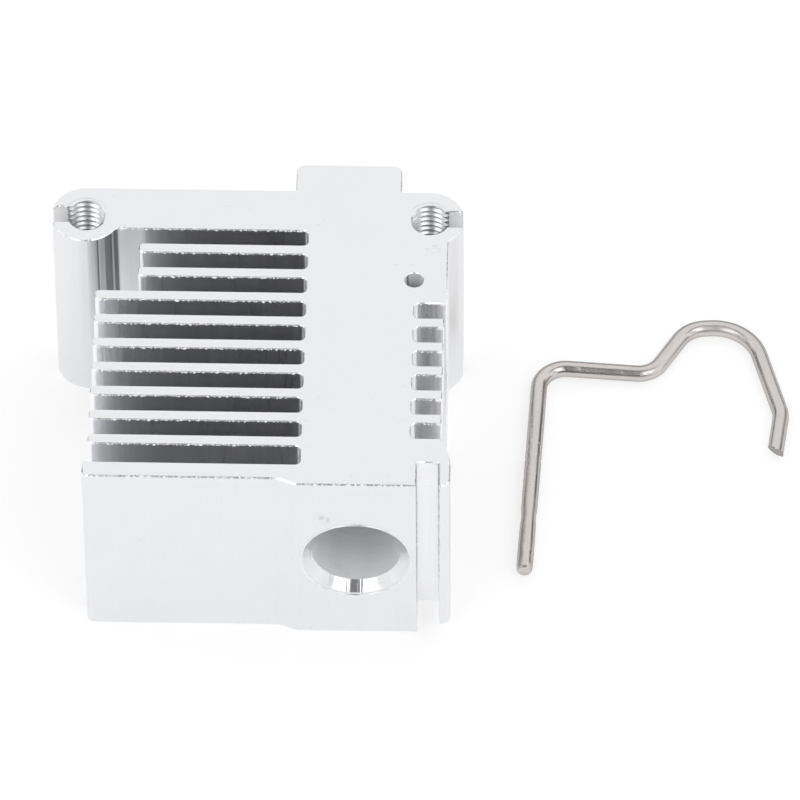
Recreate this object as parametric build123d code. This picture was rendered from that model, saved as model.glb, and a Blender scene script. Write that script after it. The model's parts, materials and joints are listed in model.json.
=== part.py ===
"""Finned aluminium heatsink of a hot end, with its bent spring-wire retaining clip.

Units are millimetres and +Z is up. +Y runs along the main bore towards the filament
inlet, and +X runs across it towards the clip. The origin lies on the flat base, under
the axis of the main bore, halfway between the front and back faces of the body.
"""
from build123d import *
import os

# ---- heatsink: body ----------------------------------------------------------------
HEIGHT = 16.2            # of the extrusion, base to top face
LENGTH = 26.0            # front wall to back face, without the nose and the inlet tab
FRONT_Y = -LENGTH / 2
BACK_Y = LENGTH / 2

RIB_LEFT = -3.85         # solid rib round the main bore
RIB_RIGHT = 3.7
NOSE_STEP = 0.5          # the nose stands this far in front of the front wall
NOSE_RAMP = 1.8          # width over which the step fades into the front wall

TAB_LEFT = -4.8          # inlet tab on the back face
TAB_RIGHT = 2.6
TAB_LENGTH = 2.4
TAB_CORNER = 0.6

PLATE_THICKNESS = 3.7    # wall across the back that carries the fan screws
FRONT_WALL = 1.3
FRONT_WALL_LEFT = -18.8
FRONT_CORNER = 0.5

# ---- heatsink: fan screw ports -----------------------------------------------------
FAN_HOLE_SPACING = 24.0  # two corners of a 30 mm fan's bolt square
RIGHT_HOLE_X = 4.6
LEFT_HOLE_X = RIGHT_HOLE_X - FAN_HOLE_SPACING
BOSS_RADIUS = 2.45
HOLE_Y = BACK_Y - BOSS_RADIUS
BOSS_FILLET = 0.5        # where a boss runs into the wall in front of it
SCREW_RADIUS = 1.5       # M3
PORT_SLIT = 1.4          # the ports are C-shaped, open outwards

# ---- heatsink: fins and slots ------------------------------------------------------
SLOT_WIDTH = 1.3
SLOT_PITCH = 2.155
SLOT_COUNT = 9           # equal slots on the left, from the back plate forwards
FRONT_SLOT_WIDTH = 1.6   # the tenth, behind the front wall
SLOT_END_RADIUS = 0.35
FIRST_SLOT_Y = BACK_Y - PLATE_THICKNESS - SLOT_WIDTH / 2
FIN_LEFT = -18.5
FIN_LEFT_SHORT = -15.6   # fins cut back beside the left screw port
SHORT_FIN_COUNT = 2
FIN_TIP_RADIUS = 0.32
FIRST_RIGHT_SLOT = 3     # the right side is slotted from the fourth row to the ninth
SIDE_RIGHT = 5.95        # body's right side, beside the clip hole
FIN_RIGHT = 5.8

# ---- heatsink: bores ---------------------------------------------------------------
BORE_RADIUS = 3.05       # takes the heat break's 6 mm shank
BORE_DEPTH = 21.5
BORE_CHAMFER = 0.65
BORE_Z = HEIGHT / 2
LINER_RADIUS = 2.05      # takes 4 mm liner tube
CLIP_HOLE_RADIUS = 0.65
CLIP_HOLE_X = 3.65       # just breaks into the side of the main bore
CLIP_HOLE_Y = FRONT_Y + 17.95

# ---- heatsink: groove in the front right corner ------------------------------------
GROOVE_LEFT = 4.2
GROOVE_WIDTH = 1.5
GROOVE_DEPTH = 2.1
FINGER_RIGHT = 6.5
FINGER_CORNER = 0.7
CORNER_RELIEF = 1.05     # the corner's underside is cut back above the base

# ---- retaining clip ----------------------------------------------------------------
WIRE_RADIUS = 0.58
LEG_TIP = (11.57, -8.4)
LEG_BEND = (12.45, 10.23)
ARM_END = (20.36, 9.67)
HUMP_LEFT = (22.86, 13.9)
HUMP_RIGHT = (27.19, 14.28)
HOOK_BEND = (29.51, 6.16)
HOOK_TIP = (29.13, 3.0)
BEND_RADII = (1.9, 1.8, 2.25, 3.35, 2.6)
WIRE_CUT = 0.2           # bevel left where the ends are nipped off

OVERCUT = 1.0            # cutters run this far past a face


def rectangle(left, right, front, back):
    """A rectangle in plan, from its four sides."""
    centre = ((left + right) / 2, (front + back) / 2)
    return Pos(*centre) * Rectangle(right - left, back - front)


def slot_y(row):
    """The centre line of an equal slot, counted from the back plate."""
    return FIRST_SLOT_Y - row * SLOT_PITCH


def unslotted_plan():
    """The outline of the rib, the fin field, the walls and the tab, before slotting."""
    plate_front = BACK_Y - PLATE_THICKNESS
    side_front = slot_y(FIRST_RIGHT_SLOT) + SLOT_WIDTH / 2
    plan = rectangle(RIB_LEFT, RIB_RIGHT, FRONT_Y - NOSE_STEP, BACK_Y)
    plan += rectangle(FIN_LEFT, RIB_LEFT, FRONT_Y, plate_front)
    plan += rectangle(FRONT_WALL_LEFT, RIB_LEFT, FRONT_Y, FRONT_Y + FRONT_WALL)
    plan += rectangle(LEFT_HOLE_X, RIGHT_HOLE_X, plate_front, BACK_Y)
    plan += rectangle(RIB_RIGHT, SIDE_RIGHT, side_front, HOLE_Y)
    plan += rectangle(RIB_RIGHT, FIN_RIGHT, FRONT_Y, side_front)
    plan += rectangle(RIB_RIGHT, FINGER_RIGHT, FRONT_Y - NOSE_STEP, FRONT_Y + FRONT_WALL)
    plan += rectangle(TAB_LEFT, TAB_RIGHT, BACK_Y - OVERCUT, BACK_Y + TAB_LENGTH)
    return plan + nose_ramp() + corner_flare()


def nose_ramp():
    """The ogee that fades the nose step into the front wall."""
    start = (RIB_LEFT - NOSE_RAMP, FRONT_Y)
    end = (RIB_LEFT, FRONT_Y - NOSE_STEP)
    ramp = Spline(start, end, tangents=[(1, 0), (1, 0)])
    return make_face(ramp + Polyline(end, (RIB_LEFT, FRONT_Y), start))


def corner_flare():
    """The curve that widens the right side from the fins to the outer finger."""
    start = (FIN_RIGHT, slot_y(SLOT_COUNT - 1) - SLOT_WIDTH / 2)
    end = (FINGER_RIGHT, FRONT_Y + FRONT_WALL)
    flare = Spline(start, end, tangents=[(0.35, -1), (0, -1)])
    return make_face(flare + Polyline(end, (FIN_RIGHT, end[1]), start))


def rounded(plan, radius, left, right, front, back):
    """Rounds the plan's corners that lie inside a window."""
    corners = [
        corner for corner in plan.vertices()
        if left <= corner.X <= right and front <= corner.Y <= back
    ]
    return fillet(corners, radius)


def slot_plan():
    """Every slot between the fins, left and right of the rib."""
    left_open = FRONT_WALL_LEFT - OVERCUT
    plate_front = BACK_Y - PLATE_THICKNESS
    slots = []
    for row in range(SLOT_COUNT):
        front = slot_y(row) - SLOT_WIDTH / 2
        back = slot_y(row) + SLOT_WIDTH / 2
        slots.append((left_open, RIB_LEFT, front, back, RIB_LEFT))
        if row >= FIRST_RIGHT_SLOT:
            slots.append((RIB_RIGHT, FINGER_RIGHT + OVERCUT, front, back, RIB_RIGHT))
    wall_back = FRONT_Y + FRONT_WALL
    slots.append((left_open, RIB_LEFT, wall_back, wall_back + FRONT_SLOT_WIDTH, RIB_LEFT))

    plan = Sketch()
    for left, right, front, back, closed_end in slots:
        slot = rectangle(left, right, front, back)
        ends = [corner for corner in slot.vertices() if abs(corner.X - closed_end) < 0.01]
        plan += fillet(ends, SLOT_END_RADIUS)

    short_fins_front = slot_y(SHORT_FIN_COUNT) - SLOT_WIDTH / 2
    plan += rectangle(left_open, FIN_LEFT_SHORT, short_fins_front, plate_front)
    return plan


def heatsink():
    """The extrusion cut to length, then bored, tapped and grooved."""
    plan = unslotted_plan()
    plan = rounded(plan, TAB_CORNER, TAB_LEFT - 0.1, TAB_RIGHT + 0.1, BACK_Y + 1, BACK_Y + 9)
    plan = rounded(plan, FRONT_CORNER, FRONT_WALL_LEFT - 0.1, FRONT_WALL_LEFT + 0.1,
                   FRONT_Y - 0.1, FRONT_Y + 0.1)
    plan = rounded(plan, FINGER_CORNER, FINGER_RIGHT - 0.1, FINGER_RIGHT + 0.1,
                   FRONT_Y - 1, FRONT_Y)
    plan -= slot_plan()
    plan = rounded(plan, FIN_TIP_RADIUS, FIN_LEFT - 0.1, FIN_LEFT_SHORT + 0.1,
                   FRONT_Y + FRONT_WALL + 1, BACK_Y - PLATE_THICKNESS - 0.1)

    for hole_x in (LEFT_HOLE_X, RIGHT_HOLE_X):
        plan += Pos(hole_x, HOLE_Y) * Circle(BOSS_RADIUS)
    plan = rounded(plan, BOSS_FILLET, LEFT_HOLE_X, LEFT_HOLE_X + BOSS_RADIUS,
                   HOLE_Y - BOSS_RADIUS, HOLE_Y)
    plan = rounded(plan, BOSS_FILLET, RIGHT_HOLE_X, RIGHT_HOLE_X + BOSS_RADIUS,
                   HOLE_Y - BOSS_RADIUS, HOLE_Y)

    groove_back = FRONT_Y - NOSE_STEP + GROOVE_DEPTH
    groove_right = GROOVE_LEFT + GROOVE_WIDTH
    plan -= rectangle(GROOVE_LEFT, groove_right, FRONT_Y - NOSE_STEP - OVERCUT, groove_back)
    for hole_x, outwards in ((LEFT_HOLE_X, -1), (RIGHT_HOLE_X, 1)):
        plan -= Pos(hole_x, HOLE_Y) * Circle(SCREW_RADIUS)
        slit = Rectangle(BOSS_RADIUS + OVERCUT, PORT_SLIT)
        plan -= Pos(hole_x + outwards * (BOSS_RADIUS + OVERCUT) / 2, HOLE_Y) * slit
    plan -= Pos(CLIP_HOLE_X, CLIP_HOLE_Y) * Circle(CLIP_HOLE_RADIUS)
    body = extrude(plan, HEIGHT)

    relief = Box(FINGER_RIGHT, GROOVE_DEPTH * 2, CORNER_RELIEF, align=Align.MIN)
    body -= Pos(GROOVE_LEFT, FRONT_Y - NOSE_STEP, 0) * relief
    return body - bores()


def bores():
    """The stepped bore along Y: chamfered mouth, heat break seat and liner bore."""
    mouth_y = FRONT_Y - NOSE_STEP
    inlet_y = BACK_Y + TAB_LENGTH
    mouth_radius = BORE_RADIUS + BORE_CHAMFER
    section = Polyline(
        (0, mouth_y - OVERCUT),
        (mouth_radius, mouth_y - OVERCUT),
        (mouth_radius, mouth_y),
        (BORE_RADIUS, mouth_y + BORE_CHAMFER),
        (BORE_RADIUS, mouth_y + BORE_DEPTH),
        (LINER_RADIUS, mouth_y + BORE_DEPTH),
        (LINER_RADIUS, inlet_y + OVERCUT),
        (0, inlet_y + OVERCUT),
        close=True,
    )
    return Pos(0, 0, BORE_Z) * revolve(make_face(section), Axis.Y)


def retaining_clip():
    """The spring wire: long leg, flat arm, thumb hump and hooked short leg."""
    route = FilletPolyline(
        LEG_TIP, LEG_BEND, ARM_END, HUMP_LEFT, HUMP_RIGHT, HOOK_BEND, HOOK_TIP,
        radius=list(BEND_RADII),
    )
    section = Plane(route @ 0, z_dir=route % 0) * Circle(WIRE_RADIUS)
    wire = sweep(section, route)
    cut_ends = wire.faces().filter_by(GeomType.PLANE)
    wire = chamfer(cut_ends.edges(), WIRE_CUT)
    return Pos(0, 0, WIRE_RADIUS) * wire


os.makedirs("parts", exist_ok=True)
export_step(heatsink(), "parts/heatsink.step")
export_step(retaining_clip(), "parts/retaining_clip.step")
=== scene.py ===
"""Looks for a finned hot-end heatsink and its bent-wire retaining clip.

The script is laid out as an add-on: settings, one operator for each group of pieces and
one for the stage, and a sidebar panel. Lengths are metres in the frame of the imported
model: +Y runs along the main bore towards the inlet, and +Z is up from the flat base.
"""
import json
import random
from math import cos, hypot, pi, radians, sin, tan

import bpy
from mathutils import Matrix, Vector


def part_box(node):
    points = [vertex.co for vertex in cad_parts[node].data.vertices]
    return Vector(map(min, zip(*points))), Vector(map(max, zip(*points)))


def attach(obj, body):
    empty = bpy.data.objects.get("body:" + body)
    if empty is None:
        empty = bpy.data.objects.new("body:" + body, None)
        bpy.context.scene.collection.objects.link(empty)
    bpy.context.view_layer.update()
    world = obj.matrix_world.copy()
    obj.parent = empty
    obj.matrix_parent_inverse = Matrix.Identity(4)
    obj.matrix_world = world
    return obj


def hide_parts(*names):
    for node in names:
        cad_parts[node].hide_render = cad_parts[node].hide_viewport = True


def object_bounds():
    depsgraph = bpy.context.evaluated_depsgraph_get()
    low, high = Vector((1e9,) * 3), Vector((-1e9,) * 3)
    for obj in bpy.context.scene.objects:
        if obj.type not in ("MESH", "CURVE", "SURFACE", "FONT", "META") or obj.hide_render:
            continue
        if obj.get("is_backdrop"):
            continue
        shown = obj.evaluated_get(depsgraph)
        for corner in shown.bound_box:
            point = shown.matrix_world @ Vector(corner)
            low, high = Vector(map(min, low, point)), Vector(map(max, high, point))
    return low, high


bl_info = {
    "name": "Hot-end heatsink and clip",
    "version": (1, 0, 0),
    "blender": (4, 5, 0),
    "location": "3D View > Sidebar > Hot end",
    "description": "Builds the finned heatsink, its screw threads and its spring clip",
    "category": "Object",
}

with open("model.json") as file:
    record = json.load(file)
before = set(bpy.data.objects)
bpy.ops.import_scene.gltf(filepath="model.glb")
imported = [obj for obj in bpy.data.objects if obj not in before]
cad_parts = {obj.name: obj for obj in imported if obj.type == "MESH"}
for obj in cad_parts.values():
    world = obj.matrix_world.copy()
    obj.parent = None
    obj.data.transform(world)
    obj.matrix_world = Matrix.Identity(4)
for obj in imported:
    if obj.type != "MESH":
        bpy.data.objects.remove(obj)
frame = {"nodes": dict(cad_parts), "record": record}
CAD_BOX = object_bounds()
MM = 0.001

SINK_LOW, SINK_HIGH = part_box("heatsink")
CLIP_LOW, CLIP_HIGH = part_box("retaining_clip")
MOUNTS = {mount["name"]: mount for mount in frame["record"]["mounts"]}


def bore_of(name):
    """The place and the radius of a bore, from its mount in the record."""
    mount = MOUNTS[name]
    return mount["pos_m"], mount["dims"]["r_mm"] * MM


MAIN_BORE, MAIN_RADIUS = bore_of("heat_break_bore")
LINER_BORE, LINER_RADIUS = bore_of("liner_bore")
LEFT_PORT, PORT_RADIUS = bore_of("fan_screw_left")     # the two ports are alike
RIGHT_PORT = bore_of("fan_screw_right")[0]

# Places on the extrusion that no mount states.
FRONT_WALL = 1.7 * MM                       # depth of the nose step and the wall behind it
PLATE_FRONT = 9.5 * MM                      # front of the plate that carries the ports
RIB_LEFT = -3.0 * MM                        # the left fins are all left of this
LEFT_SLOTS = (-18.6 * MM, -3.8 * MM)        # where the slots start and end, across
RIGHT_SLOTS = (3.65 * MM, 6.0 * MM)
PORT_SLIT = 1.4 * MM                        # width of the slit in each port's side
BOSS_RADIUS = 2.45 * MM
CLIP_HOLE = (3.65 * MM, 4.95 * MM)
CLIP_HOLE_RADIUS = 0.65 * MM
RELIEF_TOP = 1.5 * MM                       # above the relief under the front right corner
SKIN = 0.12 * MM                            # how near to a wall a face counts as part of it

# The extrusion's finishes, by material index.
SATIN, SAWN, DRILLED, BROKEN, TURNED = range(5)


# ---- settings ----------------------------------------------------------------------

class HeatsinkSettings(bpy.types.PropertyGroup):
    """Sizes and colour of the machined extrusion."""

    edge_break: bpy.props.FloatProperty(
        name="Edge break", description="Width of the flat along a broken edge",
        default=0.1 * MM, subtype="DISTANCE", precision=6)
    colour: bpy.props.FloatVectorProperty(
        name="Aluminium", description="Colour of the bare metal",
        default=(0.83, 0.834, 0.845), size=3, min=0.0, max=1.0, subtype="COLOR")
    roughness: bpy.props.FloatProperty(
        name="Roughness", description="Roughness of the satin faces",
        default=0.34, min=0.0, max=1.0, subtype="FACTOR")
    # A lighter copy of the aluminium for the walls between the fins: painted light in the slots.
    slot_painted_light_colour: bpy.props.FloatVectorProperty(
        name="Sawn walls", description="Colour of the sawn walls between the fins",
        default=(0.935, 0.94, 0.98), size=3, min=0.0, max=1.0, subtype="COLOR")


class ThreadSettings(bpy.types.PropertyGroup):
    """Sizes of the thread cut in each screw port."""

    pitch: bpy.props.FloatProperty(
        name="Pitch", description="Distance from one thread crest to the next",
        default=0.5 * MM, subtype="DISTANCE", precision=6)
    depth: bpy.props.FloatProperty(
        name="Depth", description="How far a crest stands out of the port's wall",
        default=0.27 * MM, subtype="DISTANCE", precision=6)
    sink: bpy.props.FloatProperty(
        name="Sink", description="How far the thread ends below the top face",
        default=0.03 * MM, subtype="DISTANCE", precision=6)


class BurrSettings(bpy.types.PropertyGroup):
    """Sizes of the crumbs that the saw leaves along each edge, and of the bore's lip."""

    size: bpy.props.FloatProperty(
        name="Size", description="Radius of an ordinary crumb",
        default=0.06 * MM, subtype="DISTANCE", precision=6)
    # The crumb at a fin's corner is a burr and also a painted highlight on the fin tip's rounded
    # corner.
    corner_glint_size: bpy.props.FloatProperty(
        name="Corner size", description="Radius of the crumb at a fin's corner",
        default=0.12 * MM, subtype="DISTANCE", precision=6)
    spacing: bpy.props.FloatProperty(
        name="Spacing", description="Mean distance between crumbs along an edge",
        default=0.26 * MM, subtype="DISTANCE", precision=6)
    lip_radius: bpy.props.FloatProperty(
        name="Lip radius", description="Radius of the lip round the bore's mouth",
        default=3.83 * MM, subtype="DISTANCE", precision=6)
    lip_height: bpy.props.FloatProperty(
        name="Lip height", description="How far that lip stands out of the front",
        default=0.06 * MM, subtype="DISTANCE", precision=6)
    lip_drop: bpy.props.FloatProperty(
        name="Lip drop", description="How far that lip lies below the bore's axis",
        default=0.12 * MM, subtype="DISTANCE", precision=6)


class ClipSettings(bpy.types.PropertyGroup):
    """Colour and finish of the spring wire."""

    colour: bpy.props.FloatVectorProperty(
        name="Wire", description="Colour of the drawn spring wire",
        default=(0.63, 0.595, 0.575), size=3, min=0.0, max=1.0, subtype="COLOR")
    roughness: bpy.props.FloatProperty(
        name="Roughness", description="Roughness of the drawn surface",
        default=0.29, min=0.0, max=1.0, subtype="FACTOR")


class StageSettings(bpy.types.PropertyGroup):
    """Camera, floor and lights."""

    azimuth: bpy.props.FloatProperty(
        name="Azimuth", description="Camera's turn from straight along +Y",
        default=radians(-1.61), subtype="ANGLE")
    elevation: bpy.props.FloatProperty(
        name="Elevation", description="Camera's height above the horizon",
        default=radians(50.47), subtype="ANGLE")
    roll: bpy.props.FloatProperty(
        name="Roll", description="Camera's turn about its own line of sight",
        default=radians(-0.4), subtype="ANGLE")
    distance: bpy.props.FloatProperty(
        name="Distance", description="From the camera to its aim",
        default=0.779, subtype="DISTANCE")
    aim: bpy.props.FloatVectorProperty(
        name="Aim", description="Point on the base plane that the camera faces",
        default=(2.53 * MM, 7.48 * MM, 0.0), size=3, subtype="TRANSLATION")
    lens: bpy.props.FloatProperty(
        name="Lens", description="Focal length in millimetres on a 36 mm sensor",
        default=495.0, subtype="DISTANCE_CAMERA")
    floor_colour: bpy.props.FloatVectorProperty(
        name="Floor", description="Colour of the floor",
        default=(0.4, 0.4, 0.4), size=3, min=0.0, max=1.0, subtype="COLOR")
    floor_glow: bpy.props.FloatProperty(
        name="Floor glow", description="Light the floor gives off, which keeps shadows pale",
        default=0.66, min=0.0)


# ---- shader writing ----------------------------------------------------------------

class Sock:
    """A shader socket, so that node maths reads as ordinary arithmetic."""

    def __init__(self, shader, socket):
        self.shader = shader
        self.socket = socket

    def maths(self, operation, *values):
        """A Math node on sockets and numbers."""
        return self.shader.node("ShaderNodeMath", {"operation": operation}, values)

    def __add__(self, other):
        return self.maths("ADD", self, other)

    def __radd__(self, other):
        return self.maths("ADD", other, self)

    def __sub__(self, other):
        return self.maths("SUBTRACT", self, other)

    def __rsub__(self, other):
        return self.maths("SUBTRACT", other, self)

    def __mul__(self, other):
        return self.maths("MULTIPLY", self, other)

    def __rmul__(self, other):
        return self.maths("MULTIPLY", other, self)

    def __abs__(self):
        return self.maths("ABSOLUTE", self)

    def smooth(self, low, high):
        """0 below low, 1 above high, with a soft change between."""
        settings = {"interpolation_type": "SMOOTHSTEP"}
        return self.shader.node("ShaderNodeMapRange", settings, (self, low, high, 0.0, 1.0))


class Shader:
    """A material with a Principled surface and a short way to add nodes to it."""

    def __init__(self, name):
        self.material = bpy.data.materials.new(name)
        self.material.use_nodes = True
        self.tree = self.material.node_tree
        self.surface = self.tree.nodes["Principled BSDF"]
        self.place = self.node("ShaderNodeTexCoord", output="Object")

    def node(self, kind, settings=None, inputs=(), output=0):
        """Adds a node: settings first, then input values or links, by index or name."""
        node = self.tree.nodes.new(kind)
        for key, value in (settings or {}).items():
            setattr(node, key, value)
        pairs = inputs.items() if isinstance(inputs, dict) else enumerate(inputs)
        for key, value in pairs:
            self.feed(node.inputs[key], value)
        return Sock(self, node.outputs[output])

    def feed(self, socket, value):
        """Links a socket, or sets its value."""
        if isinstance(value, Sock):
            self.tree.links.new(value.socket, socket)
        else:
            socket.default_value = value

    def set(self, **values):
        """Feeds the Principled surface's sockets; base_color is Base Color."""
        for key, value in values.items():
            self.feed(self.surface.inputs[key.replace("_", " ").title()], value)

    def noise(self, scale, detail=2.0, at=None):
        """Noise from 0 to 1 with scale cells a metre."""
        inputs = {"Vector": at or self.place, "Scale": scale, "Detail": detail}
        return self.node("ShaderNodeTexNoise", inputs=inputs)

    def streaks(self, x, y, z, detail=2.0):
        """Noise with x, y and z cells a metre, which runs along the axis with the fewest."""
        inputs = {"Vector": self.place, "Scale": (x, y, z)}
        return self.noise(1.0, detail, at=self.node("ShaderNodeMapping", inputs=inputs))

    def split(self, vector):
        """The X, Y and Z of a vector."""
        outputs = self.node("ShaderNodeSeparateXYZ", inputs=(vector,)).socket.node.outputs
        return [Sock(self, output) for output in outputs]

    def mix(self, factor, low, high):
        """A colour between low and high, each a link or three numbers."""
        low, high = (end if isinstance(end, Sock) else (*end, 1.0) for end in (low, high))
        inputs = {"Factor": factor, 6: low, 7: high}
        return self.node("ShaderNodeMix", {"data_type": "RGBA"}, inputs, output=2)

    def tones(self, tone, colour, dark, light):
        """A colour that goes from dark to light times itself as the tone goes from 0 to 1."""
        return self.mix(tone, shade(colour, dark), shade(colour, light))

    def bump(self, height, distance, strength):
        """A bumped normal from a height of 0 to 1."""
        inputs = {"Height": height, "Distance": distance, "Strength": strength}
        return self.node("ShaderNodeBump", inputs=inputs)


def shade(colour, factor):
    """A colour made lighter or darker."""
    return tuple(min(1.0, channel * factor) for channel in colour)


# ---- finishes ----------------------------------------------------------------------

# Dark reflection bands painted down the front of the left port's curved boss, also bumped in as
# shallow grooves: how far right of its axis, half width.
BOSS_REFLECTION_BANDS = ((0.87 * MM, 0.03 * MM), (1.6 * MM, 0.2 * MM), (2.11 * MM, 0.1 * MM))
REFLECTION_BAND_EDGE = 0.08 * MM                      # how wide a band's soft edge is
REFLECTION_BANDS_END = 0.5 * MM                       # the bands fade out this far before its axis

# Small rubbed patches: on the front face and on the top face.
SCUFFS = ((-2.15 * MM, -13.5 * MM, 12.4 * MM), (4.9 * MM, 7.8 * MM, 16.2 * MM))
SCUFF_CORE = 0.15 * MM
SCUFF_REACH = 0.7 * MM


def boss_reflection_bands(paint, wall):
    """1 along the dark reflection bands painted down the front of the left port's boss."""
    across, along, _ = paint.split(paint.place)
    axis_x, axis_y, _ = LEFT_PORT
    reflection_bands = 0.0
    for offset, half_width in BOSS_REFLECTION_BANDS:
        distance = abs(across - (axis_x + offset))
        reflection_bands = 1.0 - distance.smooth(half_width, half_width + REFLECTION_BAND_EDGE) + reflection_bands
    front = axis_y - BOSS_RADIUS
    behind_front = along.smooth(front - MM, front)
    before_axis = 1.0 - along.smooth(axis_y - REFLECTION_BANDS_END, axis_y)
    return reflection_bands * wall * behind_front * before_axis


def scuff_marks(paint):
    """1 in the rubbed patches, which fine noise breaks up."""
    scuffs = 0.0
    for place in SCUFFS:
        distance = paint.node(
            "ShaderNodeVectorMath", {"operation": "DISTANCE"}, (paint.place, place), "Value")
        scuffs = 1.0 - distance.smooth(SCUFF_CORE, SCUFF_REACH) + scuffs
    return scuffs * paint.noise(3600, detail=3.0).smooth(0.5, 0.62)


def satin_aluminium(look):
    """Bare extrusion: die lines up its walls, fine saw grain on its cut ends, and painted dark
    reflection bands on the left port's boss.
    """
    paint = Shader("satin_aluminium")
    _, _, up = paint.split(paint.node("ShaderNodeTexCoord", output="Normal"))
    cut_end = abs(up).smooth(0.6, 0.9)
    wall = 1.0 - cut_end
    clouds = paint.noise(260, detail=3.0)
    grain = paint.noise(5200)
    specks = paint.noise(1700).smooth(0.71, 0.78)
    die_lines = paint.streaks(2300, 2300, 9)
    streaks = paint.streaks(900, 900, 18)
    # painted dark reflection bands on the left port's curved boss
    reflection_bands = boss_reflection_bands(paint, wall)
    scuffs = scuff_marks(paint)
    tone = 0.5 * clouds + 0.3 * grain * cut_end + 0.3 * streaks * wall + 0.1 - specks * 1.5
    satin = paint.tones(tone, look.colour, 0.94, 1.04)
    height = grain * cut_end * 0.03 + die_lines * wall * 0.45 - reflection_bands * 0.3
    paint.set(
        metallic=1.0,
        # darkened in the painted reflection bands and in the rubbed patches
        base_color=paint.mix(reflection_bands + scuffs * 0.35, satin, shade(look.colour, 0.4)),
        roughness=look.roughness + (clouds - 0.5) * 0.12 + (streaks - 0.5) * wall * 0.16,
        normal=paint.bump(height, 0.14 * MM, 0.7),
    )
    return paint.material


def sawn_slot(look):
    """Walls between the fins, streaked down by the saw, in a lighter copy of the metal that paints
    light into the slots.
    """
    paint = Shader("sawn_slot")
    streaks = paint.streaks(1500, 1500, 15, detail=3.0)
    fine = paint.streaks(4200, 4200, 25)
    paint.set(
        metallic=1.0,
        base_color=paint.tones(0.5 * streaks + 0.5 * fine, look.slot_painted_light_colour, 0.9, 1.12),
        roughness=0.22 + fine * 0.18,
        normal=paint.bump(fine, 0.02 * MM, 0.5),
    )
    return paint.material


def drilled_bore(look):
    """Drilled holes: dull rings left by the tool and a few scratches, on a mostly matt grey lighter
    than the bare metal, which paints light into the holes.
    """
    paint = Shader("drilled_bore")
    rings = paint.streaks(300, 4200, 300)
    clouds = paint.noise(650, detail=3.0)
    scratches = paint.streaks(400, 2600, 2600, detail=1.0).smooth(0.7, 0.76)
    drag = paint.streaks(900, 40, 900)
    tone = 0.25 * rings + 0.25 * clouds + 0.5 * drag - 0.4 * scratches
    paint.set(
        metallic=0.25,
        # lighter than the bare metal: painted light inside the holes
        base_color=paint.tones(tone, look.colour, 0.95, 1.6),
        roughness=0.42 + rings * 0.2,
        normal=paint.bump(rings + drag - scratches, 0.05 * MM, 0.6),
    )
    return paint.material


def cut_thread(look):
    """The tapped thread: the same metal, brighter and smoother."""
    paint = Shader("cut_thread")
    swirl = paint.streaks(700, 700, 9000)
    clouds = paint.noise(900)
    paint.set(
        metallic=1.0,
        base_color=paint.tones(clouds, look.colour, 0.9, 1.04),
        roughness=0.24 + swirl * 0.1,
        normal=paint.bump(swirl, 0.006 * MM, 0.4),
    )
    return paint.material


def broken_edge(look):
    """Edges broken after sawing: bright and a little wavy."""
    paint = Shader("broken_edge")
    waves = paint.noise(1500, detail=3.0)
    paint.set(
        metallic=1.0,
        base_color=paint.tones(waves, look.colour, 1.0, 1.15),
        roughness=0.17 + waves * 0.2,
        normal=paint.bump(waves, 0.09 * MM, 0.6),
    )
    return paint.material


def countersink(look):
    """The bore's turned mouth: mirror bright, with the tool's chatter across it."""
    paint = Shader("countersink")
    chatter = paint.streaks(5200, 300, 300)
    paint.set(
        metallic=1.0,
        base_color=paint.tones(chatter, look.colour, 0.86, 0.98),
        roughness=0.12 + chatter * 0.1,
        normal=paint.bump(chatter, 0.03 * MM, 0.6),
    )
    return paint.material


def torn_crumb(look):
    """Torn crumbs, whiter than the faces round them and mostly matt: painted glints."""
    paint = Shader("torn_crumb")
    facets = paint.noise(5200, detail=1.0)
    paint.set(
        metallic=0.15,
        base_color=paint.tones(facets, look.colour, 1.12, 1.25),
        roughness=0.22 + facets * 0.2,
    )
    return paint.material


def drawn_wire(look):
    """Drawn spring wire: fine lines along it, dull patches and light wear."""
    paint = Shader("drawn_wire")
    draw_lines = paint.streaks(120, 120, 9000)
    patches = paint.noise(380, detail=3.0)
    nicks = paint.noise(2600).smooth(0.62, 0.72)
    paint.set(
        metallic=1.0,
        specular_tint=(0.55, 0.53, 0.52, 1.0),
        base_color=paint.tones(0.55 * patches + 0.45 * draw_lines, look.colour, 0.8, 1.18),
        roughness=look.roughness + (patches - 0.5) * 0.4 + nicks * 0.15,
        normal=paint.bump(draw_lines * 0.7 - nicks * 0.5, 0.02 * MM, 0.5),
    )
    return paint.material


def sheared_wire(look):
    """The torn grey face where the wire was cut."""
    paint = Shader("sheared_wire")
    tears = paint.streaks(3000, 3000, 9000)
    paint.set(
        metallic=1.0,
        base_color=paint.tones(tears, look.colour, 0.45, 0.75),
        roughness=0.45 + tears * 0.15,
        normal=paint.bump(tears, 0.02 * MM, 0.5),
    )
    return paint.material


def pale_floor(look):
    """Matt paper under the object."""
    paint = Shader("pale_floor")
    fibres = paint.noise(700, detail=3.0)
    paint.set(
        base_color=paint.tones(fibres, look.floor_colour, 0.99, 1.0),
        roughness=0.9,
        emission_color=(1.0, 1.0, 1.0, 1.0),
        emission_strength=look.floor_glow,
    )
    return paint.material


# ---- modelling helpers -------------------------------------------------------------

def deselect_all():
    """Nothing is selected, in object mode."""
    if bpy.context.object and bpy.context.object.mode != "OBJECT":
        bpy.ops.object.mode_set(mode="OBJECT")
    bpy.ops.object.select_all(action="DESELECT")


def take_up(piece):
    """Selects one piece and makes it active."""
    deselect_all()
    piece.select_set(True)
    bpy.context.view_layer.objects.active = piece


def name_piece(name):
    """Names the active piece and its mesh."""
    piece = bpy.context.active_object
    piece.name = name
    piece.data.name = name
    return piece


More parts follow.
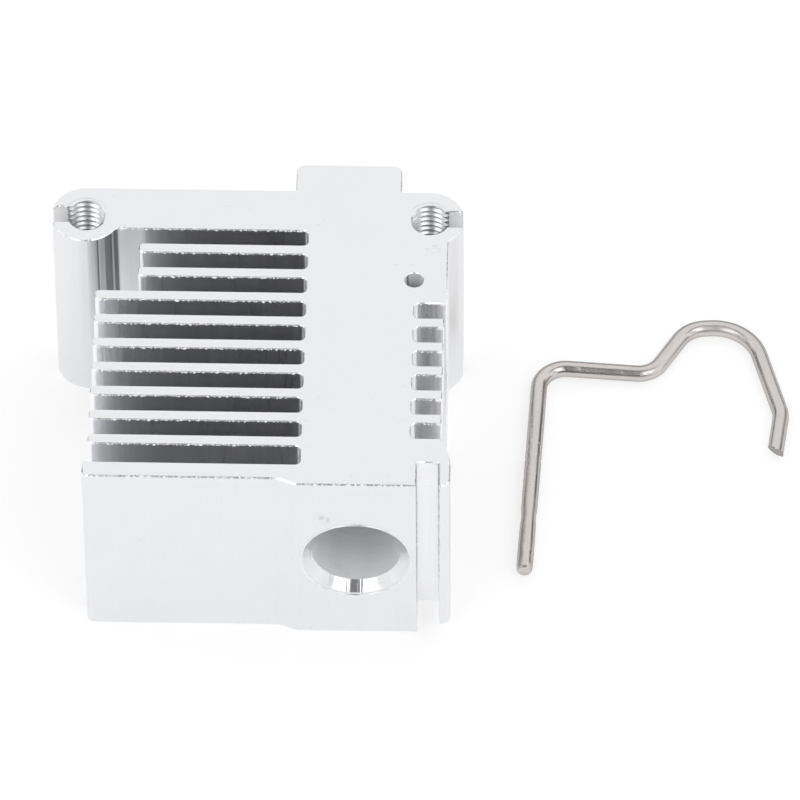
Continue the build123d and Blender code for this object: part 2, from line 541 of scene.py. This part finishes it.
def apply_modifier(piece, kind, **settings):
    """Adds a modifier with its settings and applies it."""
    take_up(piece)
    modifier = piece.modifiers.new(kind.title(), kind)
    for key, value in settings.items():
        setattr(modifier, key, value)
    bpy.ops.object.modifier_apply(modifier=modifier.name)


def settle(piece):
    """Puts a piece's place into its mesh, with its object at the origin."""
    take_up(piece)
    bpy.ops.object.transform_apply(location=True, rotation=True, scale=True)


def finish_piece(piece, body, slot, *materials):
    """Gives a piece its finishes and lets it ride on its body."""
    settle(piece)
    for material in materials:
        piece.data.materials.append(material)
    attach(piece, body)


# ---- heatsink ----------------------------------------------------------------------

SHARP = radians(60.0)                       # edges at least as sharp as this are broken
SMOOTH_BELOW = radians(35.0)                # faces that meet at less are shaded as one
MERGE = 0.002 * MM
FLAT = radians(0.2)                         # triangles that meet at less become one face

# How far an edge is broken, as a part of the full width.
FRONT_BREAK = 1.0
BACK_BREAK = 0.7
HOLE_BREAK = 0.4


def plan_reach(place, axis):
    """How far a place lies from an upright axis."""
    return hypot(place.x - axis[0], place.y - axis[1])


def port_reach(place):
    """How far a place lies from the axis of the nearer screw port."""
    return min(plan_reach(place, LEFT_PORT), plan_reach(place, RIGHT_PORT))


def bore_reach(place, axis):
    """How far a place lies from an axis along Y."""
    return hypot(place.x - axis[0], place.z - axis[2])


class HOTEND_OT_heatsink(bpy.types.Operator):
    """Models the finned extrusion with its cut edges broken"""

    bl_idname = "hotend.heatsink"
    bl_label = "Finned heatsink"

    def execute(self, context):
        look = context.scene.hotend_heatsink
        mesh = frame["nodes"]["heatsink"].data.copy()
        piece = bpy.data.objects.new("finned_extrusion", mesh)
        mesh.name = piece.name
        context.scene.collection.objects.link(piece)
        take_up(piece)
        bpy.ops.object.mode_set(mode="EDIT")
        bpy.ops.mesh.select_all(action="SELECT")
        bpy.ops.mesh.remove_doubles(threshold=MERGE)
        bpy.ops.mesh.customdata_custom_splitnormals_clear()
        bpy.ops.mesh.dissolve_limited(angle_limit=FLAT)
        bpy.ops.object.mode_set(mode="OBJECT")
        mesh.materials.clear()
        for face in mesh.polygons:
            face.material_index = self.finish_of(face)
        finish_piece(
            piece, "heatsink_body", "machined_aluminium", satin_aluminium(look),
            sawn_slot(look), drilled_bore(look), broken_edge(look), countersink(look),
        )
        self.weigh_edges(mesh)
        apply_modifier(
            piece, "BEVEL", width=look.edge_break, segments=1, limit_method="WEIGHT",
            use_clamp_overlap=False, miter_outer="MITER_ARC", material=BROKEN,
        )
        take_up(piece)
        bpy.ops.object.shade_smooth_by_angle(angle=SMOOTH_BELOW)
        apply_modifier(piece, "WEIGHTED_NORMAL", mode="FACE_AREA", weight=100, keep_sharp=True)
        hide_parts("heatsink")
        return {"FINISHED"}

    def weigh_edges(self, mesh):
        """Says how far each sharp edge of the selected piece is broken."""
        bpy.ops.object.mode_set(mode="EDIT")
        bpy.ops.mesh.select_all(action="DESELECT")
        bpy.ops.mesh.select_mode(type="EDGE")
        bpy.ops.mesh.edges_select_sharp(sharpness=SHARP)
        bpy.ops.object.mode_set(mode="OBJECT")
        bpy.context.tool_settings.mesh_select_mode = (True, False, False)
        weights = mesh.attributes.new("bevel_weight_edge", "FLOAT", "EDGE")
        for edge, weight in zip(mesh.edges, weights.data):
            if edge.select:
                weight.value = self.edge_weight(*(mesh.vertices[i].co for i in edge.vertices))

    def edge_weight(self, start, end):
        """The part of the full width to which one edge is broken."""
        middle = (start + end) / 2
        upright = abs(start.z - end.z) > 0.5 * (start - end).length
        on_end = min(middle.z - SINK_LOW.z, SINK_HIGH.z - middle.z) < SKIN
        if port_reach(middle) < (BOSS_RADIUS if upright else PORT_RADIUS) + SKIN:
            return 0.0
        if middle.x > RIGHT_SLOTS[0] and middle.z < RELIEF_TOP:
            return 0.0
        if bore_reach(middle, LINER_BORE) < LINER_RADIUS + SKIN:
            return 0.0
        if plan_reach(middle, CLIP_HOLE) < CLIP_HOLE_RADIUS + 3 * SKIN:
            return HOLE_BREAK if on_end else 0.0
        return FRONT_BREAK if middle.y < SINK_LOW.y + FRONT_WALL else BACK_BREAK

    def finish_of(self, face):
        """Which of the extrusion's finishes a face has."""
        if self.is_countersink(face):
            return TURNED
        if self.is_drilled(face):
            return DRILLED
        return SAWN if self.is_sawn(face) else SATIN

    def is_countersink(self, face):
        """Whether a face belongs to the cone at the bore's mouth."""
        is_cone = 0.6 < -face.normal.y < 0.8
        return is_cone and bore_reach(face.center, MAIN_BORE) < MAIN_RADIUS + MM

    def is_sawn(self, face):
        """Whether a face is a wall between two fins."""
        x, y, _ = face.center
        if abs(face.normal.z) > 0.3 or not SINK_LOW.y + FRONT_WALL < y < PLATE_FRONT:
            return False
        if port_reach(face.center) < BOSS_RADIUS + SKIN:
            return False
        return LEFT_SLOTS[0] < x < LEFT_SLOTS[1] or RIGHT_SLOTS[0] < x < RIGHT_SLOTS[1]

    def is_drilled(self, face):
        """Whether a face lines the main bore, the clip hole, a screw port or its slit."""
        if bore_reach(face.center, MAIN_BORE) < MAIN_RADIUS + SKIN:
            return abs(face.normal.y) < 0.6
        if abs(face.normal.z) > 0.3:
            return False
        if plan_reach(face.center, CLIP_HOLE) < CLIP_HOLE_RADIUS + SKIN:
            return True
        reach = port_reach(face.center)
        in_slit = abs(face.center.y - LEFT_PORT[1]) < PORT_SLIT / 2 + SKIN
        return reach < PORT_RADIUS + SKIN or (in_slit and reach < BOSS_RADIUS)


# ---- screw threads -----------------------------------------------------------------

THREAD_STEPS = 48                           # sides to one turn
THREAD_ROOT = 0.02 * MM                     # how far a thread starts inside the port's wall


class HOTEND_OT_screw_threads(bpy.types.Operator):
    """Winds the thread inside both screw ports and opens it at the slits"""

    bl_idname = "hotend.screw_threads"
    bl_label = "Screw threads"

    def execute(self, context):
        look = context.scene.hotend_thread
        material = cut_thread(context.scene.hotend_heatsink)
        past = 2 * PORT_RADIUS
        for name, axis, outwards in (
                ("fan_screw_left_thread", LEFT_PORT, -1),
                ("fan_screw_right_thread", RIGHT_PORT, 1)):
            port = Vector((axis[0], axis[1], 0.0))
            piece = self.wind(look)
            piece.location = port
            settle(piece)
            low = Vector((-past, -past, SINK_LOW.z + look.sink))
            high = Vector((past, past, SINK_HIGH.z - look.sink))
            self.cut(piece, port + low, port + high, "INTERSECT")
            near, far = sorted((0.0, outwards * past))
            low = Vector((near, -PORT_SLIT / 2, SINK_LOW.z - MM))
            high = Vector((far, PORT_SLIT / 2, SINK_HIGH.z + MM))
            self.cut(piece, port + low, port + high, "DIFFERENCE")
            piece.name = name
            piece.data.name = name
            take_up(piece)
            bpy.ops.object.shade_smooth_by_angle(angle=SMOOTH_BELOW)
            finish_piece(piece, "heatsink_body", "machined_aluminium", material)
        return {"FINISHED"}

    def wind(self, look):
        """A ridge of the standard 60 degree profile, wound past both end faces."""
        root = PORT_RADIUS + THREAD_ROOT
        crest = PORT_RADIUS - look.depth
        land = look.pitch / 16
        start = SINK_LOW.z - 1.5 * look.pitch
        turns = round((SINK_HIGH.z - SINK_LOW.z) / look.pitch) + 3
        bpy.ops.mesh.primitive_plane_add(size=look.pitch, location=(0.0, 0.0, 0.0))
        piece = bpy.context.active_object
        corners = (
            (root, land), (crest, look.pitch / 2 - land),
            (crest, look.pitch / 2 + land), (root, look.pitch - land),
        )
        for index, (x, z) in zip(piece.data.polygons[0].vertices, corners):
            piece.data.vertices[index].co = (x, 0.0, start + z)
        apply_modifier(
            piece, "SCREW", angle=2 * pi, steps=THREAD_STEPS, render_steps=THREAD_STEPS,
            iterations=turns, screw_offset=look.pitch, use_normal_calculate=True,
            use_merge_vertices=False,
        )
        bpy.ops.object.mode_set(mode="EDIT")
        bpy.ops.mesh.select_all(action="SELECT")
        bpy.ops.mesh.remove_doubles(threshold=MERGE / 2)
        bpy.ops.mesh.normals_make_consistent(inside=False)
        bpy.ops.object.mode_set(mode="OBJECT")
        return piece

    def cut(self, piece, low, high, operation):
        """Keeps or removes what lies inside a box."""
        deselect_all()
        bpy.ops.mesh.primitive_cube_add(size=1.0, location=(low + high) / 2)
        cutter = bpy.context.active_object
        cutter.dimensions = high - low
        settle(cutter)
        apply_modifier(piece, "BOOLEAN", operation=operation, object=cutter, solver="EXACT")
        bpy.data.objects.remove(cutter)


# ---- burrs and lip -----------------------------------------------------------------

SEED = 11
HANG = 0.03 * MM                            # how far a crumb's middle stands off its edge
BOSS_ARCS = (                               # the part of each boss's rim that has crumbs
    (LEFT_PORT, radians(190.0), radians(305.0)),
    (RIGHT_PORT, radians(285.0), radians(345.0)),
)
LIP_RIPPLE = 0.05 * MM


def front_rims():
    """Top edges of the walls that face the front, as (left, right, y), front to back."""
    mesh = frame["nodes"]["heatsink"].data
    top = SINK_HIGH.z - 0.01 * MM
    spans = {}
    for face in mesh.polygons:
        rim = [mesh.vertices[i].co for i in face.vertices if mesh.vertices[i].co.z > top]
        if face.normal.y < -0.999 and len(rim) >= 2:
            key = (round(rim[0].y, 5), face.center.x < RIB_LEFT)
            spans.setdefault(key, []).extend(point.x for point in rim)
    return sorted(
        ((min(xs), max(xs), y) for (y, _), xs in spans.items()), key=lambda rim: rim[2])


class HOTEND_OT_edge_burrs(bpy.types.Operator):
    """Leaves torn crumbs along the cut edges, and a thin lip round the bore's mouth"""

    bl_idname = "hotend.edge_burrs"
    bl_label = "Edge burrs"

    def execute(self, context):
        look = context.scene.hotend_burr
        metal = context.scene.hotend_heatsink
        self.scatter_crumbs(context, look)
        piece = name_piece("edge_burrs")
        # the crumbs' near white, mostly matt colour paints the glints along the edges
        finish_piece(piece, "heatsink_body", "machined_aluminium", torn_crumb(metal))
        self.mouth_lip(look, broken_edge(metal))
        return {"FINISHED"}

    def scatter_crumbs(self, context, look):
        """Copies one crumb to every place, sized and turned by chance, and joins them."""
        chance = random.Random(SEED)
        crumb = self.crumb()
        crumbs = []
        for place, size in self.places(look, chance):
            copy = bpy.data.objects.new("crumb", crumb.data.copy())
            context.scene.collection.objects.link(copy)
            copy.scale = (size * chance.uniform(0.8, 2.0), size, size * chance.uniform(0.5, 1.0))
            copy.rotation_euler = (
                chance.uniform(0.0, 2 * pi), chance.uniform(-0.5, 0.5), chance.uniform(-0.4, 0.4))
            copy.location = place
            crumbs.append(copy)
        bpy.data.objects.remove(crumb)
        deselect_all()
        for copy in crumbs:
            copy.select_set(True)
        context.view_layer.objects.active = crumbs[0]
        bpy.ops.object.join()

    def mouth_lip(self, look, material):
        """The thin lip that the turning tool raised round the bore's mouth."""
        deselect_all()
        bpy.ops.mesh.primitive_torus_add(
            major_radius=look.lip_radius, minor_radius=look.lip_height,
            major_segments=96, minor_segments=8, rotation=(pi / 2, 0.0, 0.0),
            location=(MAIN_BORE[0], SINK_LOW.y, MAIN_BORE[2] - look.lip_drop),
        )
        lip = name_piece("mouth_lip")
        settle(lip)
        ripple = bpy.data.textures.new("lip_ripple", "CLOUDS")
        ripple.noise_scale = 0.6 * MM
        apply_modifier(lip, "DISPLACE", texture=ripple, strength=LIP_RIPPLE, mid_level=0.5)
        bpy.ops.object.shade_smooth()
        finish_piece(lip, "heatsink_body", "machined_aluminium", material)

    def crumb(self):
        """One knobbly crumb of about unit radius."""
        deselect_all()
        bpy.ops.mesh.primitive_ico_sphere_add(subdivisions=1, radius=1.0)
        crumb = bpy.context.active_object
        knobs = bpy.data.textures.new("crumb_knobs", "CLOUDS")
        knobs.noise_scale = 0.9
        apply_modifier(crumb, "DISPLACE", texture=knobs, strength=0.9, mid_level=0.5)
        return crumb

    def places(self, look, chance):
        """Where the crumbs lie, and how large they are."""
        for left, right, y in front_rims():
            is_fin = y > SINK_LOW.y + FRONT_WALL
            if is_fin and right - left > MM:
                yield self.corner_glint_place(left, right, y), self.corner_glint_size(left, look, chance)
            yield from self.rim_places(left, right, y - HANG if is_fin else y + HANG, look, chance)
        for axis, start, end in BOSS_ARCS:
            yield from self.boss_places(axis, start, end, look, chance)

    def corner_glint_place(self, left, right, y):
        """Where the crumb at a fin's free corner lies: a burr, and a painted highlight on the
        rounded fin tip's corner.
        """
        x = left + 0.1 * MM if left < RIB_LEFT else right - 0.25 * MM
        return Vector((x, y - HANG, SINK_HIGH.z - 0.06 * MM))

    def corner_glint_size(self, left, look, chance):
        """How large that crumb, a burr and a painted highlight, is; the stubby right fins have
        larger ones.
        """
        size = look.corner_glint_size * (1.0 if left < RIB_LEFT else 1.4)
        return size * chance.uniform(0.7, 1.2)

    def rim_places(self, left, right, y, look, chance):
        """Crumbs of mixed sizes along a straight rim."""
        x = left + chance.uniform(0.05, 0.3) * MM
        while x < right - 0.1 * MM:
            size = look.size * (0.6 + 1.2 * chance.random() ** 3)
            drop = chance.uniform(0.03, 0.09) * MM
            yield Vector((x, y, SINK_HIGH.z - drop)), size
            x += look.spacing * chance.uniform(0.25, 2.2)

    def boss_places(self, axis, start, end, look, chance):
        """Crumbs round part of a boss's rim."""
        port = Vector((axis[0], axis[1], 0.0))
        angle = start
        while angle < end:
            rim = Vector((cos(angle), sin(angle), 0.0)) * (BOSS_RADIUS - HANG)
            height = Vector((0.0, 0.0, SINK_HIGH.z - chance.uniform(0.03, 0.07) * MM))
            yield port + rim + height, look.size * chance.uniform(0.6, 1.2)
            angle += look.spacing * chance.uniform(0.8, 3.0) / BOSS_RADIUS


# ---- retaining clip ----------------------------------------------------------------

# The wire's route in plan, as its straight runs meet, and the radius of each bend.
CLIP_ROUTE = [
    Vector((x * MM, y * MM, 0.0)) for x, y in (
        (11.57, -8.4), (12.45, 10.23), (20.36, 9.67), (22.86, 13.9),
        (27.19, 14.28), (29.51, 6.16), (29.13, 3.0),
    )
]
CLIP_BENDS = [radius * MM for radius in (1.9, 1.8, 2.25, 3.35, 2.6)]

# The long leg's thickness, as parts of the wire's, at distances from its tip.
LEG_TIP_SHAPE = [
    (distance * MM, thickness) for distance, thickness in (
        (0.0, 0.55), (0.05, 0.78), (0.25, 0.93), (0.6, 1.0), (1.3, 1.0), (1.45, 0.94),
        (1.6, 1.0), (2.9, 1.0), (4.2, 0.96), (4.8, 0.89), (5.2, 0.9), (5.6, 0.99), (9.9, 1.0),
        (10.1, 0.91), (10.3, 1.0), (10.9, 1.0), (11.1, 0.92), (11.3, 1.0),
    )
]
WIRE_SIDES = 40
RUN_STEP = 0.8 * MM                         # the longest ring to ring length of a straight run
BEND_STEP = radians(5.0)
BEND_STEPS_LEAST = 4

HOOK_SPARE = 1.2 * MM                       # wire past the hook's end, before it is cut
SHEAR_FACING = Vector((-0.55, -0.78, -0.25)).normalized()
SHEAR_BEYOND = 0.15 * MM                    # where the slanting cut crosses the wire's middle
BLUNT_BEYOND = 0.4 * MM                     # where the cut's thin tip is cut off square
WIRE_SMOOTH_BELOW = radians(40.0)


class HOTEND_OT_clip(bpy.types.Operator):
    """Bends the retaining clip from round wire, run by run and bend by bend"""

    bl_idname = "hotend.clip"
    bl_label = "Retaining clip"

    def execute(self, context):
        look = context.scene.hotend_clip
        radius = (CLIP_HIGH.z - CLIP_LOW.z) / 2
        level = Vector((0.0, 0.0, CLIP_LOW.z + radius))
        start = CLIP_ROUTE[0] + level
        heading = (CLIP_ROUTE[1] - CLIP_ROUTE[0]).normalized()
        deselect_all()
        bpy.ops.mesh.primitive_circle_add(
            vertices=WIRE_SIDES, radius=radius, location=start,
            rotation=heading.to_track_quat("Z", "Y").to_euler(),
        )
        piece = name_piece("bent_wire_clip")
        settle(piece)
        bpy.ops.object.mode_set(mode="EDIT")
        bpy.ops.mesh.select_all(action="SELECT")
        here = self.leg_tip(start, heading)
        for corner, after, bend in zip(CLIP_ROUTE[1:-1], CLIP_ROUTE[2:], CLIP_BENDS):
            here, heading = self.run_and_bend(here, heading, corner + level, after + level, bend)
        end = CLIP_ROUTE[-1] + level
        self.run(here, end + heading * HOOK_SPARE)
        bpy.ops.mesh.select_all(action="SELECT")
        bpy.ops.mesh.remove_doubles(threshold=MERGE / 2)
        for beyond, facing in ((SHEAR_BEYOND, SHEAR_FACING), (BLUNT_BEYOND, heading)):
            self.select_near(piece, end, 3 * HOOK_SPARE)
            bpy.ops.mesh.bisect(
                plane_co=end + heading * beyond, plane_no=facing, use_fill=True,
                clear_outer=True,
            )
        bpy.ops.mesh.select_all(action="DESELECT")
        bpy.ops.mesh.select_non_manifold()
        bpy.ops.mesh.edge_face_add()
        bpy.ops.mesh.select_all(action="SELECT")
        bpy.ops.mesh.normals_make_consistent(inside=False)
        bpy.ops.object.mode_set(mode="OBJECT")
        take_up(piece)
        bpy.ops.object.shade_smooth_by_angle(angle=WIRE_SMOOTH_BELOW)
        finish_piece(piece, "clip_body", "spring_wire", drawn_wire(look), sheared_wire(look))
        for face in piece.data.polygons:
            is_sheared = face.center.x > end.x - MM and face.normal.dot(SHEAR_FACING) > 0.98
            face.material_index = 1 if is_sheared else 0
        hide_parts("retaining_clip")
        return {"FINISHED"}

    def select_near(self, piece, place, reach):
        """Selects the faces with every corner inside a sphere, in edit mode."""
        bpy.ops.mesh.select_all(action="DESELECT")
        bpy.ops.object.mode_set(mode="OBJECT")
        points = piece.data.vertices
        near = [(point.co - place).length < reach for point in points]
        for group in (piece.data.edges, piece.data.polygons):
            for item in group:
                item.select = all(near[index] for index in item.vertices)
        for point, is_near in zip(points, near):
            point.select = is_near
        bpy.ops.object.mode_set(mode="EDIT")

    def leg_tip(self, start, heading):
        """Draws the long leg's end: a rounded tip, a nick, and the marks of the pliers."""
        width = 1.0
        here = start
        for distance, new_width in LEG_TIP_SHAPE:
            there = start + heading * distance
            if distance > 0.0:
                bpy.ops.mesh.extrude_region_move(TRANSFORM_OT_translate={"value": there - here})
            ratio = new_width / width
            bpy.ops.transform.resize(value=(ratio, ratio, ratio), center_override=there)
            here = there
            width = new_width
        return here

    def run(self, here, there):
        """Extrudes the open ring along a straight run, in short lengths."""
        steps = max(1, round((there - here).length / RUN_STEP))
        step = (there - here) / steps
        for _ in range(steps):
            bpy.ops.mesh.extrude_region_move(TRANSFORM_OT_translate={"value": step})

    def run_and_bend(self, here, heading, corner, after, bend):
        """One straight run, then the bend at its end; returns the new end and heading."""
        leaving = (after - corner).normalized()
        turn = heading.angle(leaving)
        side = 1.0 if heading.cross(leaving).z > 0 else -1.0
        setback = bend * tan(turn / 2)
        arc_start = corner - heading * setback
        arc_end = corner + leaving * setback
        across = Vector((-heading.y, heading.x, 0.0)) * side
        self.run(here, arc_start)
        bpy.ops.mesh.spin(
            steps=max(BEND_STEPS_LEAST, round(turn / BEND_STEP)), angle=turn, dupli=False,
            center=arc_start + across * bend, axis=(0.0, 0.0, -side),
        )
        return arc_end, leaving


# ---- stage -------------------------------------------------------------------------

FLOOR_SIZE = 3.0
FLOOR_GAP = 0.02 * MM                       # keeps the floor clear of the flat base

# The soft boxes: name, azimuth and elevation in degrees, width and height in metres,
# radiance, and how far aside each stands from its line to the aim, in metres.
SOFT_BOXES = (
    ("back_top", 180, 52, 1.2, 0.8, 0.875, 0.0),
    ("left_side", 90, 30, 0.5, 0.4, 0.9, 0.0),
    ("right_side", -90, 30, 0.5, 0.4, 0.95, 0.0),
    ("front_left", 0, 52, 0.4, 0.57, 1.8, -0.32),
    ("front_right", 0, 52, 0.4, 0.57, 1.8, 0.32),
    ("low_left", 56, 10, 0.35, 0.25, 0.9, 0.0),
    ("low_right", -58, 10, 0.35, 0.25, 0.9, 0.0),
)
BOX_AIM = Vector((5 * MM, 0.0, 5 * MM))
BOX_DISTANCE = 0.6
SKY_COLOUR = (0.95, 0.97, 1.0, 1.0)
SKY_STRENGTH = 0.18
SENSOR_WIDTH = 36.0                         # millimetres


class HOTEND_OT_stage(bpy.types.Operator):
    """Sets the floor, the soft lights and the camera"""

    bl_idname = "hotend.stage"
    bl_label = "Stage"

    def execute(self, context):
        look = context.scene.hotend_stage
        self.lay_floor(look)
        for box in SOFT_BOXES:
            self.soft_box(*box)
        self.light_sky(context)
        self.set_camera(context, look)
        context.scene.view_settings.view_transform = "Standard"
        return {"FINISHED"}

    def lay_floor(self, look):
        """A wide sheet of paper just under the base."""
        deselect_all()
        height = SINK_LOW.z - FLOOR_GAP
        bpy.ops.mesh.primitive_plane_add(size=FLOOR_SIZE, location=(0.0, 0.0, height))
        floor = name_piece("floor")
        settle(floor)
        floor.data.materials.append(pale_floor(look))
        floor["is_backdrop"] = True

    def soft_box(self, name, azimuth, elevation, width, height, radiance, aside):
        """A rectangular light that faces the aim, or a place as far aside from it."""
        turn = radians(azimuth)
        rise = radians(elevation)
        out = Vector((-sin(turn) * cos(rise), -cos(turn) * cos(rise), sin(rise)))
        right = Vector((cos(turn), -sin(turn), 0.0))
        bpy.ops.object.light_add(
            type="AREA", location=BOX_AIM + out * BOX_DISTANCE + right * aside,
            rotation=out.to_track_quat("Z", "Y").to_euler(),
        )
        lamp = bpy.context.active_object
        lamp.name = name
        lamp.data.shape = "RECTANGLE"
        lamp.data.size = width
        lamp.data.size_y = height
        lamp.data.energy = radiance * pi * width * height

    def light_sky(self, context):
        """A weak, even light from all round."""
        world = context.scene.world or bpy.data.worlds.new("studio")
        context.scene.world = world
        world.use_nodes = True
        background = world.node_tree.nodes["Background"]
        background.inputs["Color"].default_value = SKY_COLOUR
        background.inputs["Strength"].default_value = SKY_STRENGTH

    def set_camera(self, context, look):
        """Aims the long lens, turned a little about its own line of sight."""
        level = cos(look.elevation)
        sight = Vector((sin(look.azimuth) * level, cos(look.azimuth) * level, -sin(look.elevation)))
        place = Vector(look.aim) - sight * look.distance
        turn = Matrix.Rotation(look.roll, 4, -sight)
        upright = sight.to_track_quat("-Z", "Y").to_matrix().to_4x4()
        bpy.ops.object.camera_add()
        camera = context.active_object
        camera.matrix_world = Matrix.Translation(place) @ turn @ upright
        camera.data.sensor_width = SENSOR_WIDTH
        camera.data.lens = look.lens
        camera.data.clip_end = 10.0
        context.scene.camera = camera


# ---- panel and start ---------------------------------------------------------------

class HOTEND_PT_panel(bpy.types.Panel):
    """Lists the pieces in the order in which they are made"""

    bl_idname = "HOTEND_PT_panel"
    bl_label = "Hot end"
    bl_space_type = "VIEW_3D"
    bl_region_type = "UI"
    bl_category = "Hot end"

    def draw(self, context):
        for operator in OPERATORS:
            self.layout.operator(operator.bl_idname)
        for name in SETTINGS:
            group = getattr(context.scene, name)
            for key in group.bl_rna.properties.keys():
                if key not in ("rna_type", "name"):
                    self.layout.prop(group, key)


SETTINGS = {
    "hotend_heatsink": HeatsinkSettings,
    "hotend_thread": ThreadSettings,
    "hotend_burr": BurrSettings,
    "hotend_clip": ClipSettings,
    "hotend_stage": StageSettings,
}
OPERATORS = (
    HOTEND_OT_heatsink, HOTEND_OT_screw_threads, HOTEND_OT_edge_burrs, HOTEND_OT_clip,
    HOTEND_OT_stage,
)


def register():
    for name, group in SETTINGS.items():
        bpy.utils.register_class(group)
        setattr(bpy.types.Scene, name, bpy.props.PointerProperty(type=group))
    for operator in OPERATORS:
        bpy.utils.register_class(operator)
    bpy.utils.register_class(HOTEND_PT_panel)


def unregister():
    bpy.utils.unregister_class(HOTEND_PT_panel)
    for operator in reversed(OPERATORS):
        bpy.utils.unregister_class(operator)
    for name, group in reversed(SETTINGS.items()):
        delattr(bpy.types.Scene, name)
        bpy.utils.unregister_class(group)


def main():
    register()
    bpy.ops.hotend.heatsink()
    bpy.ops.hotend.screw_threads()
    bpy.ops.hotend.edge_burrs()
    bpy.ops.hotend.clip()
    bpy.ops.hotend.stage()
    boxes = {"cad": CAD_BOX, "visual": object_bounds()}
    plain = {key: [list(corner) for corner in box] for key, box in boxes.items()}


if __name__ == "__main__":
    main()
